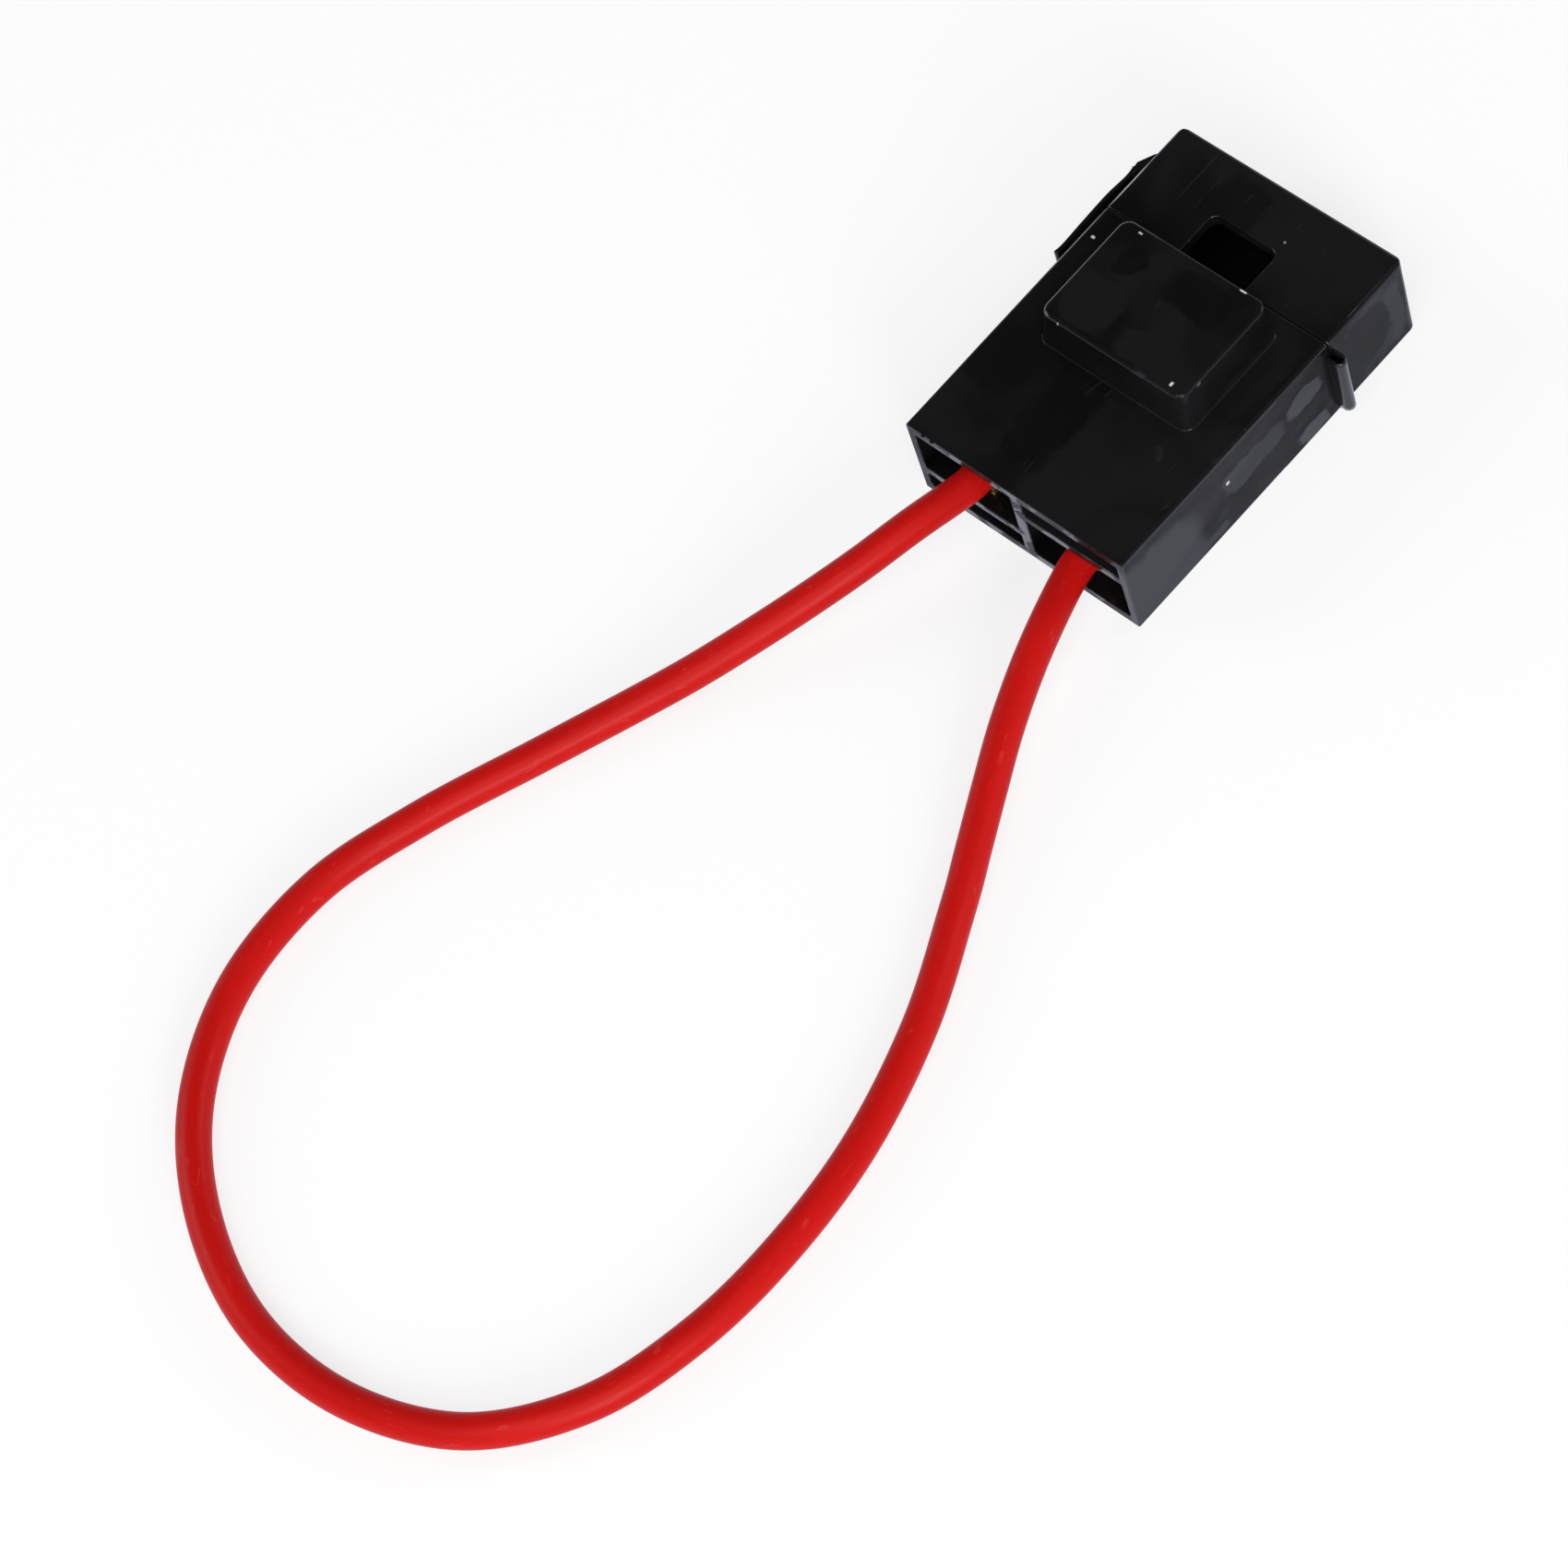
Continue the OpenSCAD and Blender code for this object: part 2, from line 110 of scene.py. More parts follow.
def smoothRoute(points, steps, lowest):
    points = [Vector(p) for p in points]
    last = len(points) - 1
    line = []
    for i in range(last):
        a, b = points[max(i - 1, 0)], points[i]
        c, d = points[i + 1], points[min(i + 2, last)]
        for s in range(steps):
            t = s / steps
            line.append(0.5 * (2 * b + (c - a) * t + (2 * a - 5 * b + 4 * c - d) * t ** 2
                               + (3 * b - a - 3 * c + d) * t ** 3))
    line.append(points[last])
    for p in line:
        p.z = max(p.z, lowest)
    return line


def newPiece(name, bm, body, replaced=None):
    bmesh.ops.recalc_face_normals(bm, faces=bm.faces)
    mesh = bpy.data.meshes.new(name)
    bm.to_mesh(mesh)
    bm.free()
    piece = bpy.data.objects.new(name, mesh)
    scene.collection.objects.link(piece)
    if body:
        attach(piece, body)
    if replaced:
        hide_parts(replaced)
    return piece


def sweepTube(bm, line, radius, sides):
    # straightPlace keeps each point's place on the lead as if it were laid straight
    straight = bm.verts.layers.float_vector.get("straightPlace")
    straight = straight or bm.verts.layers.float_vector.new("straightPlace")
    rings, run = [], 0.0
    for i, centre in enumerate(line):
        along = (line[min(i + 1, len(line) - 1)] - line[max(i - 1, 0)]).normalized()
        side = along.cross(Vector((0, 0, 1))).normalized()
        rise = side.cross(along)
        run += (centre - line[i - 1]).length if i else 0
        ring = []
        for k in range(sides):
            a = math.tau * k / sides
            vert = bm.verts.new(centre + radius * (math.cos(a) * side + math.sin(a) * rise))
            vert[straight] = (run, radius * math.cos(a), radius * math.sin(a))
            ring.append(vert)
        rings.append(ring)
    for one, two in zip(rings, rings[1:]):
        for k in range(sides):
            face = bm.faces.new((one[k], one[(k + 1) % sides], two[(k + 1) % sides], two[k]))
            face.smooth = True
    bm.faces.new(rings[0])
    bm.faces.new(rings[-1])


wireLine = smoothRoute(wireLead["route"], wireLead["stepsPerPoint"], wireLead["diameter"] / 2)
wireMesh = bmesh.new()
sweepTube(wireMesh, wireLine, wireLead["diameter"] / 2, wireLead["sides"])
wirePiece = newPiece("redWire", wireMesh, "base", "wire_loop")
print("wire laid")

# Stripped conductor ends: strands twisted round one another inside the crimps
strandLay = {
    "strandRadius": 0.00030,
    "pitch": 0.011,
    "stepsPerPitch": 28,
    "sides": 10,
}


def strandBundle(name, node, spec):
    low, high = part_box(node)
    centre = (low + high) / 2
    layRadius = (high.z - low.z) / 2 - spec["strandRadius"]
    steps = max(2, round((high.y - low.y) / spec["pitch"] * spec["stepsPerPitch"]))
    bm = bmesh.new()
    for k in range(7):
        reach = 0 if k == 6 else layRadius
        line = []
        for i in range(steps + 1):
            y = low.y + (high.y - low.y) * i / steps
            a = math.tau * ((y - low.y) / spec["pitch"] + k / 6)
            line.append(Vector((centre.x + reach * math.cos(a), y, centre.z + reach * math.sin(a))))
        sweepTube(bm, line, spec["strandRadius"], spec["sides"])
    return newPiece(name, bm, "base", node)


strandPieces = [strandBundle("twistedStrandsLeft", "strands_left", strandLay),
                strandBundle("twistedStrandsRight", "strands_right", strandLay)]
print("strands twisted")

# Moulded and pressed pieces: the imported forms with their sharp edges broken
edgeBreak = {
    "weld": 2e-7,
    "flatAngle": math.radians(0.6),
    "sharpAngle": math.radians(28),
    "roundAngle": math.radians(2),
    "slantAngle": math.radians(12),
    "segments": 3,
    "housing": 0.00011,
    "strip": 0.00005,
    "cellMiddles": (-0.006, 0.006),
}


def cutEndFace(bm, across):
    # Parts the rim of the wire end in the middle of the cells, so that no face has a hole and no join
    # line runs into a cell's corner
    end = min(vert.co.y for vert in bm.verts)
    for x in across:
        rim = [face for face in bm.faces if all(vert.co.y < end + edgeBreak["weld"] for vert in face.verts)]
        parts = {part for face in rim for part in (*face.verts, *face.edges, face)}
        cut = bmesh.ops.bisect_plane(bm, geom=list(parts), dist=edgeBreak["weld"], plane_co=(x, 0, 0),
                                     plane_no=(1, 0, 0))
        for part in cut["geom_cut"]:
            if isinstance(part, bmesh.types.BMEdge):
                part.seam = True


def softCopy(name, node, body, width, across=()):
    bm = bmesh.new()
    bm.from_mesh(nodes[node].data)
    bmesh.ops.remove_doubles(bm, verts=bm.verts, dist=edgeBreak["weld"])
    cutEndFace(bm, across)
    bmesh.ops.dissolve_limit(bm, angle_limit=edgeBreak["flatAngle"], verts=bm.verts, edges=bm.edges,
                             delimit={"SEAM"})
    for face in bm.faces:
        face.smooth = True
    piece = newPiece(name, bm, None, node)
    for i in range(2):  # the second slot marks the faces that the bevel makes
        piece.data.materials.append(None)
    bevel = piece.modifiers.new("brokenEdges", "BEVEL")
    bevel.width = width
    bevel.segments = edgeBreak["segments"]
    bevel.limit_method = "ANGLE"
    bevel.angle_limit = edgeBreak["sharpAngle"]
    bevel.use_clamp_overlap = False
    bevel.miter_outer = "MITER_ARC"
    bevel.material = 1
    flat = piece.modifiers.new("flatFaces", "WEIGHTED_NORMAL")
    flat.weight = 100
    flat.keep_sharp = True
    made = bpy.data.meshes.new_from_object(piece.evaluated_get(bpy.context.evaluated_depsgraph_get()))
    piece.modifiers.clear()
    piece.data = made
    low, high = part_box(node)
    for vert in made.vertices:
        vert.co = [min(max(c, a), b) for c, a, b in zip(vert.co, low, high)]
    markBrokenEdges(made)
    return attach(piece, body)


def markBrokenEdges(mesh):
    # brokenEdge is 1 on sloping and rounded faces and on bevelled edges that stand out, and 0 elsewhere
    marks = mesh.attributes.new("brokenEdge", "FLOAT", "FACE")
    for face in mesh.polygons:
        corners = [(mesh.vertices[mesh.loops[i].vertex_index].co, mesh.corner_normals[i].vector)
                   for i in face.loop_indices]
        bent = max(normal.angle(face.normal) for place, normal in corners)
        swell = sum((place - face.center).dot(normal) for place, normal in corners)
        if face.material_index == 1:
            marks.data[face.index].value = float(swell > 0)
        elif abs(face.normal.z) > math.sin(edgeBreak["slantAngle"]):
            slanted = max(abs(part) for part in face.normal) < math.cos(edgeBreak["slantAngle"])
            marks.data[face.index].value = float(slanted or bent > edgeBreak["roundAngle"] and swell > 0)
    mesh.polygons.foreach_set("material_index", [0] * len(mesh.polygons))


bodyPiece = softCopy("mouldedBody", "body_shell", "base", edgeBreak["housing"],
                     edgeBreak["cellMiddles"])
capPiece = softCopy("mouldedCap", "cap_shell", "cap", edgeBreak["housing"])
brassPieces = [softCopy("pressedTerminalLeft", "terminal_left", "base", edgeBreak["strip"]),
               softCopy("pressedTerminalRight", "terminal_right", "base", edgeBreak["strip"])]
print("housing and terminals finished")

# Living hinge: a thin strip folded outwards; the real strip opens out as the cap swings over, but this piece keeps one
# fixed fold
foldStrip = {
    "thickness": 0.0003,
    "legSteps": 8,
    "foldSteps": 26,
    "widthSteps": 16,
    "edgeRound": 0.00008,
}


def foldedStrip(spec):
    low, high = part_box("living_hinge")
    joint = next(j for j in frame["joints"] if j["name"] == "cap_hinge")
    axis = Vector(joint["pos_m"])
    outer = high.x - axis.x
    middle = outer - spec["thickness"] / 2
    path = [Vector((low.x + (axis.x - low.x) * i / spec["legSteps"], axis.y - middle))
            for i in range(spec["legSteps"])]
    for i in range(spec["foldSteps"] + 1):
        a = math.pi * (i / spec["foldSteps"] - 0.5)
        path.append(Vector((axis.x + middle * math.cos(a), axis.y + middle * math.sin(a))))
    for i in range(1, spec["legSteps"] + 1):
        path.append(Vector((axis.x + (low.x - axis.x) * i / spec["legSteps"], axis.y + middle)))
    bm = bmesh.new()
    sections = []
    half = spec["thickness"] / 2
    inset = spec["edgeRound"]
    profile = []
    for i in range(spec["widthSteps"] + 1):
        profile.append((half, low.z + inset + (high.z - low.z - 2 * inset) * i / spec["widthSteps"]))
    profile += [(half - inset, high.z), (-half + inset, high.z)]
    for i in range(spec["widthSteps"] + 1):
        profile.append((-half, high.z - inset - (high.z - low.z - 2 * inset) * i / spec["widthSteps"]))
    profile += [(-half + inset, low.z), (half - inset, low.z)]
    for i, point in enumerate(path):
        along = (path[min(i + 1, len(path) - 1)] - path[max(i - 1, 0)]).normalized()
        out = Vector((along.y, -along.x))
        sections.append([bm.verts.new((point.x + out.x * o, point.y + out.y * o, z)) for o, z in profile])
    count = len(profile)
    for one, two in zip(sections, sections[1:]):
        for k in range(count):
            face = bm.faces.new((one[k], one[(k + 1) % count], two[(k + 1) % count], two[k]))
            face.smooth = True
    bm.faces.new(sections[0])
    bm.faces.new(sections[-1])
    piece = newPiece("foldedHinge", bm, None, "living_hinge")
    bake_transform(piece)
    return piece


hingePiece = foldedStrip(foldStrip)
print("hinge folded")

# Mould flash: ragged nibs left on the top edge of the wire end
mouldFlash = {
    "nibs": [(0.00930, 0.00050), (0.00850, 0.00035), (-0.00890, 0.00045), (-0.00990, 0.00030)],
    "sink": 0.00012,
    "stand": 0.00018,
    "thickness": 0.00010,
    "points": 7,
}


def flashNib(index, spec):
    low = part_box("body_shell")[0]
    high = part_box("cap_shell")[1]
    across, width = spec["nibs"][index]
    ragged = random.Random(index + 3)
    bm = bmesh.new()
    layers = []
    for z in (high.z - spec["thickness"], high.z):
        layer = []
        for i in range(spec["points"]):
            x = across + width * (i / (spec["points"] - 1) - 0.5)
            stand = spec["stand"] * ragged.uniform(0.2, 1.0) if 0 < i < spec["points"] - 1 else 0
            layer.append(bm.verts.new((x, low.y - stand, z - spec["thickness"] * ragged.uniform(0, 0.5))))
        layer += [bm.verts.new((across + side * width / 2, low.y + spec["sink"], z)) for side in (1, -1)]
        layers.append(layer)
    count = len(layers[0])
    bm.faces.new(layers[0])
    bm.faces.new(layers[1])
    for k in range(count):
        bm.faces.new((layers[0][k], layers[0][(k + 1) % count], layers[1][(k + 1) % count], layers[1][k]))
    return newPiece("flashNib" + str(index + 1), bm, "base")


flashPieces = [flashNib(i, mouldFlash) for i in range(len(mouldFlash["nibs"]))]
print("mould flash added")

# Node helpers


def addNode(tree, kind, options=None, inputs=None):
    node = tree.nodes.new("ShaderNode" + kind)
    for key, value in (options or {}).items():
        setattr(node, key, value)
    for key, value in (inputs or {}).items():
        if isinstance(value, bpy.types.NodeSocket):
            tree.links.new(value, node.inputs[key])
        else:
            node.inputs[key].default_value = value
    return node


def sumNode(tree, operation, *values):
    return addNode(tree, "Math", {"operation": operation}, dict(enumerate(values))).outputs[0]


def vectorNode(tree, operation, one, two):
    return addNode(tree, "VectorMath", {"operation": operation}, {0: one, 1: two}).outputs[0]


def rampNode(tree, value, low, high, outLow=0.0, outHigh=1.0):
    ramp = addNode(tree, "MapRange", {"interpolation_type": "SMOOTHSTEP"},
                   {"Value": value, "From Min": low, "From Max": high, "To Min": outLow, "To Max": outHigh})
    return ramp.outputs["Result"]


def newGroup(name, inputs, outputs):
    tree = bpy.data.node_groups.new(name, "ShaderNodeTree")
    for label, kind, value in inputs:
        socket = tree.interface.new_socket(label, in_out="INPUT", socket_type="NodeSocket" + kind)
        socket.default_value = value
    for label, kind in outputs:
        tree.interface.new_socket(label, in_out="OUTPUT", socket_type="NodeSocket" + kind)
    entry = tree.nodes.new("NodeGroupInput")
    leave = tree.nodes.new("NodeGroupOutput")
    return tree, entry.outputs, leave.inputs


def useGroup(tree, group, inputs):
    node = tree.nodes.new("ShaderNodeGroup")
    node.node_tree = group
    for key, value in inputs.items():
        if isinstance(value, bpy.types.NodeSocket):
            tree.links.new(value, node.inputs[key])
        else:
            node.inputs[key].default_value = value
    return node.outputs


# Effects shared by the materials. Scales are per metre and lengths are metres.


def makeDust():
    # Small pale flecks, one in some of the cells of a fine random lattice
    tree, given, put = newGroup("dustFlecks", [("Vector", "Vector", (0, 0, 0)), ("Scale", "Float", 900.0),
                                               ("Share", "Float", 0.1), ("Size", "Float", 0.12)],
                                [("Mask", "Float")])
    cells = addNode(tree, "TexVoronoi", inputs={"Vector": given["Vector"], "Scale": given["Scale"]})
    pick = addNode(tree, "SeparateColor", inputs={"Color": cells.outputs["Color"]})
    chosen = sumNode(tree, "LESS_THAN", pick.outputs["Red"], given["Share"])
    size = sumNode(tree, "MULTIPLY", given["Size"], sumNode(tree, "ADD", pick.outputs["Green"], 0.4))
    near = sumNode(tree, "SUBTRACT", 1.0, sumNode(tree, "DIVIDE", cells.outputs["Distance"], size))
    tree.links.new(sumNode(tree, "MULTIPLY", chosen, rampNode(tree, near, 0.0, 0.5)), put["Mask"])
    return tree


def makeSpot():
    # One soft-edged patch about a place, with its own reach along each axis and a wandering outline
    tree, given, put = newGroup("placedSpot", [("Vector", "Vector", (0, 0, 0)), ("Place", "Vector", (0, 0, 0)),
                                               ("Reach", "Vector", (1, 1, 1)), ("Softness", "Float", 0.2),
                                               ("Wander", "Float", 0.0)], [("Mask", "Float")])
    noise = addNode(tree, "TexNoise", inputs={"Vector": given["Vector"], "Scale": 500.0, "Detail": 2.5})
    centred = vectorNode(tree, "SUBTRACT", noise.outputs["Color"], (0.5, 0.5, 0.5))
    drift = addNode(tree, "VectorMath", {"operation": "SCALE"}, {0: centred, "Scale": given["Wander"]})
    away = vectorNode(tree, "SUBTRACT", vectorNode(tree, "ADD", given["Vector"], drift.outputs[0]), given["Place"])
    share = vectorNode(tree, "DIVIDE", away, given["Reach"])
    square = vectorNode(tree, "MULTIPLY", share, share)
    far = addNode(tree, "VectorMath", {"operation": "LENGTH"}, {0: square}).outputs["Value"]
    edge = sumNode(tree, "SUBTRACT", 1.0, given["Softness"])
    tree.links.new(rampNode(tree, far, edge, 1.0, 1.0, 0.0), put["Mask"])
    return tree


def makePatches():
    # Broad smooth patches with fairly firm borders, as flow and cooling leave them on a moulding
    tree, given, put = newGroup("glossPatches", [("Vector", "Vector", (0, 0, 0)), ("Scale", "Float", 100.0),
                                                 ("Level", "Float", 0.5), ("Softness", "Float", 0.05)],
                                [("Mask", "Float")])
    noise = addNode(tree, "TexNoise", inputs={"Vector": given["Vector"], "Scale": given["Scale"], "Detail": 2.0,
                                              "Distortion": 0.6})
    low = sumNode(tree, "SUBTRACT", given["Level"], given["Softness"])
    high = sumNode(tree, "ADD", given["Level"], given["Softness"])
    tree.links.new(rampNode(tree, noise.outputs["Fac"], low, high), put["Mask"])
    return tree


def makeScuffs():
    # Fine scratches: thin lines that run mostly one way and fade in and out
    tree, given, put = newGroup("hairScuffs", [("Vector", "Vector", (0, 0, 0)), ("Stretch", "Vector", (1, 0.08, 1)),
                                               ("Scale", "Float", 300.0), ("Width", "Float", 0.01),
                                               ("Share", "Float", 0.5)], [("Mask", "Float")])
    drawn = vectorNode(tree, "MULTIPLY", given["Vector"], given["Stretch"])
    lines = addNode(tree, "TexNoise", inputs={"Vector": drawn, "Scale": given["Scale"], "Detail": 1.0})
    gap = sumNode(tree, "ABSOLUTE", sumNode(tree, "SUBTRACT", lines.outputs["Fac"], 0.5))
    thin = rampNode(tree, gap, 0.0, given["Width"], 1.0, 0.0)
    shown = addNode(tree, "TexNoise", inputs={"Vector": given["Vector"], "Scale": given["Scale"], "Detail": 2.0})
    high = sumNode(tree, "ADD", given["Share"], 0.08)
    part = rampNode(tree, shown.outputs["Fac"], given["Share"], high)
    tree.links.new(sumNode(tree, "MULTIPLY", thin, part), put["Mask"])
    return tree


def makeWear():
    # Rubbed edges, broken up by noise: Edge is 1 on the faces of a broken edge
    tree, given, put = newGroup("edgeWear", [("Vector", "Vector", (0, 0, 0)), ("Edge", "Float", 0.0),
                                             ("Scale", "Float", 900.0), ("Share", "Float", 0.5)],
                                [("Mask", "Float")])
    noise = addNode(tree, "TexNoise", inputs={"Vector": given["Vector"], "Scale": given["Scale"], "Detail": 3.0})
    high = sumNode(tree, "ADD", given["Share"], 0.1)
    rubbed = rampNode(tree, noise.outputs["Fac"], given["Share"], high)
    tree.links.new(sumNode(tree, "MULTIPLY", rubbed, given["Edge"]), put["Mask"])
    return tree


def makeSkin():
    # Height of a skin: a slow waviness and a fine grain
    tree, given, put = newGroup("skinRelief", [("Vector", "Vector", (0, 0, 0)), ("Wave Scale", "Float", 150.0),
                                               ("Wave", "Float", 0.6), ("Grain Scale", "Float", 6000.0),
                                               ("Grain", "Float", 0.2)], [("Height", "Float")])
    wave = addNode(tree, "TexNoise", inputs={"Vector": given["Vector"], "Scale": given["Wave Scale"], "Detail": 1.0})
    grain = addNode(tree, "TexNoise", inputs={"Vector": given["Vector"], "Scale": given["Grain Scale"], "Detail": 2.0})
    total = sumNode(tree, "ADD", sumNode(tree, "MULTIPLY", wave.outputs["Fac"], given["Wave"]),
                    sumNode(tree, "MULTIPLY", grain.outputs["Fac"], given["Grain"]))
    tree.links.new(total, put["Height"])
    return tree


dustFlecks = makeDust()
placedSpot = makeSpot()
glossPatches = makePatches()
hairScuffs = makeScuffs()
edgeWear = makeWear()
skinRelief = makeSkin()


def newMaterial(name, constants):
    material = bpy.data.materials.new(name)
    material.use_nodes = True
    tree = material.node_tree
    tree.nodes.clear()
    shader = addNode(tree, "BsdfPrincipled", inputs=constants)
    out = addNode(tree, "OutputMaterial")
    tree.links.new(shader.outputs[0], out.inputs["Surface"])
    return material, tree, shader.inputs


def dress(piece, material):
    piece.data.materials.clear()
    piece.data.materials.append(material)


def mixColour(tree, mask, one, two):
    mix = addNode(tree, "Mix", {"data_type": "RGBA"}, {"Factor": mask})
    for key, value in ((6, one), (7, two)):
        if isinstance(value, bpy.types.NodeSocket):
            tree.links.new(value, mix.inputs[key])
        else:
            mix.inputs[key].default_value = value
    return mix.outputs[2]


def spread(tree, value, ends):
    return addNode(tree, "MapRange", inputs={"Value": value, "To Min": ends[0], "To Max": ends[1]}).outputs["Result"]


def spotted(tree, field, place, spots):
    # Lays placed spots over a field: a level of 0 to 1 raises it there, a level below 0 clears it
    for centre, reach, level in spots:
        spot = useGroup(tree, placedSpot, {"Vector": place, "Place": centre, "Reach": reach, "Softness": 0.45,
                                           "Wander": 0.0019})["Mask"]
        if level < 0:
            field = sumNode(tree, "MULTIPLY", field, sumNode(tree, "MULTIPLY_ADD", spot, level, 1.0))
        else:
            field = sumNode(tree, "MAXIMUM", field, sumNode(tree, "MULTIPLY", spot, level))
    return field


def bumpNode(tree, height, depth):
    bump = addNode(tree, "Bump", inputs={"Height": height, "Strength": 1.0, "Distance": depth})
    return bump.outputs["Normal"]


# Black plastic of the housing, cap and hinge strip: clean colour, a lighter colour for real haze and for painted
# reflections, a pale colour for dust and for painted glints and edge highlights, coat on dull and on glossy parts
blackPlastic = {
    "clean": (0.0040, 0.0037, 0.0036, 1),
    # the second colour is real haze and also painted reflection, where placed spots lighten or darken the top faces as
    # if they reflected bright or dark surroundings
    "hazeAndReflectionColour": (0.0082, 0.0078, 0.0084, 1),
    "rubbed": (0.030, 0.029, 0.031, 1),
    # pale colour for real dust flecks and specks, and also for painted glints and painted highlight strips along edges
    "dustAndPaintedGlint": (0.62, 0.60, 0.58, 1),
    "specular": 0.03,
    "specularTint": (0.86, 0.88, 1.0, 1),
    "roughness": (0.34, 0.55),
    "coatRoughness": 0.06,
    "coat": (0.10, 1.0),
    "edgeCoat": 0.9,
    "mottle": 0.17,
    "streaks": 0.11,
    "waveDepth": 0.00005,
}


def plasticMaterial(name, spec, marks):
    material, tree, shader = newMaterial(name, {
        "Specular IOR Level": spec["specular"], "Specular Tint": spec["specularTint"],
        "Coat Roughness": spec["coatRoughness"], "Coat IOR": 1.5})
    place = addNode(tree, "TexCoord").outputs["Object"]
    edge = addNode(tree, "Attribute", {"attribute_name": "brokenEdge"}).outputs["Fac"]
    drawn = vectorNode(tree, "MULTIPLY", place, (1.0, 0.5, 1.0))
    gloss = useGroup(tree, glossPatches, {"Vector": drawn, "Scale": 330.0, "Level": 0.55, "Softness": 0.16})["Mask"]
    streaks = vectorNode(tree, "MULTIPLY", place, (1.0, 0.4, 0.8))
    streaks = useGroup(tree, glossPatches, {"Vector": streaks, "Scale": 1700.0, "Level": 0.5, "Softness": 0.2})["Mask"]
    gloss = sumNode(tree, "MULTIPLY_ADD", streaks, spec["streaks"], sumNode(tree, "MULTIPLY", gloss, spec["mottle"]))
    gloss = spotted(tree, gloss, place, marks["gloss"])
    # Haze field: random real haze, plus placed spots that are painted reflections, lighter or darker base colour where
    # the glossy top faces reflect bright or dark surroundings
    hazeAndPaintedReflection = useGroup(tree, glossPatches, {"Vector": place, "Scale": 85.0, "Level": 0.46, "Softness": 0.14})["Mask"]
    hazeAndPaintedReflection = spotted(tree, hazeAndPaintedReflection, place, marks["hazeAndPaintedReflection"])
    scuffs = useGroup(tree, hairScuffs, {"Vector": place, "Scale": 420.0, "Width": 0.012, "Share": 0.60})["Mask"]
    worn = useGroup(tree, edgeWear, {"Vector": place, "Edge": edge, "Scale": 700.0, "Share": 0.64})["Mask"]
    flecks = useGroup(tree, dustFlecks, {"Vector": place, "Scale": 420.0, "Share": 0.03, "Size": 0.05})["Mask"]
    # Dust flecks are real dust; the placed specks hold real specks and also painted glints and painted edge highlights
    # in the same pale colour
    dustAndPaintedGlint = sumNode(tree, "MULTIPLY", flecks, 0.2)
    for centre, reach, strength in marks["specksAndPaintedGlints"]:
        spot = useGroup(tree, placedSpot, {"Vector": place, "Place": centre, "Reach": reach, "Softness": 0.8})
        dustAndPaintedGlint = sumNode(tree, "MAXIMUM", dustAndPaintedGlint, sumNode(tree, "MULTIPLY", spot["Mask"], strength))
    rubbed = sumNode(tree, "MAXIMUM", sumNode(tree, "MULTIPLY", scuffs, 0.3), sumNode(tree, "MULTIPLY", worn, 0.6))
    colour = mixColour(tree, hazeAndPaintedReflection, spec["clean"], spec["hazeAndReflectionColour"])
    colour = mixColour(tree, rubbed, colour, spec["rubbed"])
    tree.links.new(mixColour(tree, dustAndPaintedGlint, colour, spec["dustAndPaintedGlint"]), shader["Base Color"])
    matt = sumNode(tree, "MAXIMUM", rubbed, dustAndPaintedGlint)
    tree.links.new(spread(tree, matt, spec["roughness"]), shader["Roughness"])
    shine = spotted(tree, sumNode(tree, "MULTIPLY", edge, spec["edgeCoat"]), place, marks["edges"])
    coat = sumNode(tree, "MAXIMUM", spread(tree, gloss, spec["coat"]), shine)
    coat = sumNode(tree, "MULTIPLY", coat, sumNode(tree, "SUBTRACT", 1.0, matt))
    tree.links.new(coat, shader["Coat Weight"])
    relief = useGroup(tree, skinRelief, {"Vector": place, "Wave Scale": 120.0, "Wave": 1.0,
                                         "Grain Scale": 6000.0, "Grain": 0.012})["Height"]
    tree.links.new(bumpNode(tree, relief, spec["waveDepth"]), shader["Normal"])
    return material


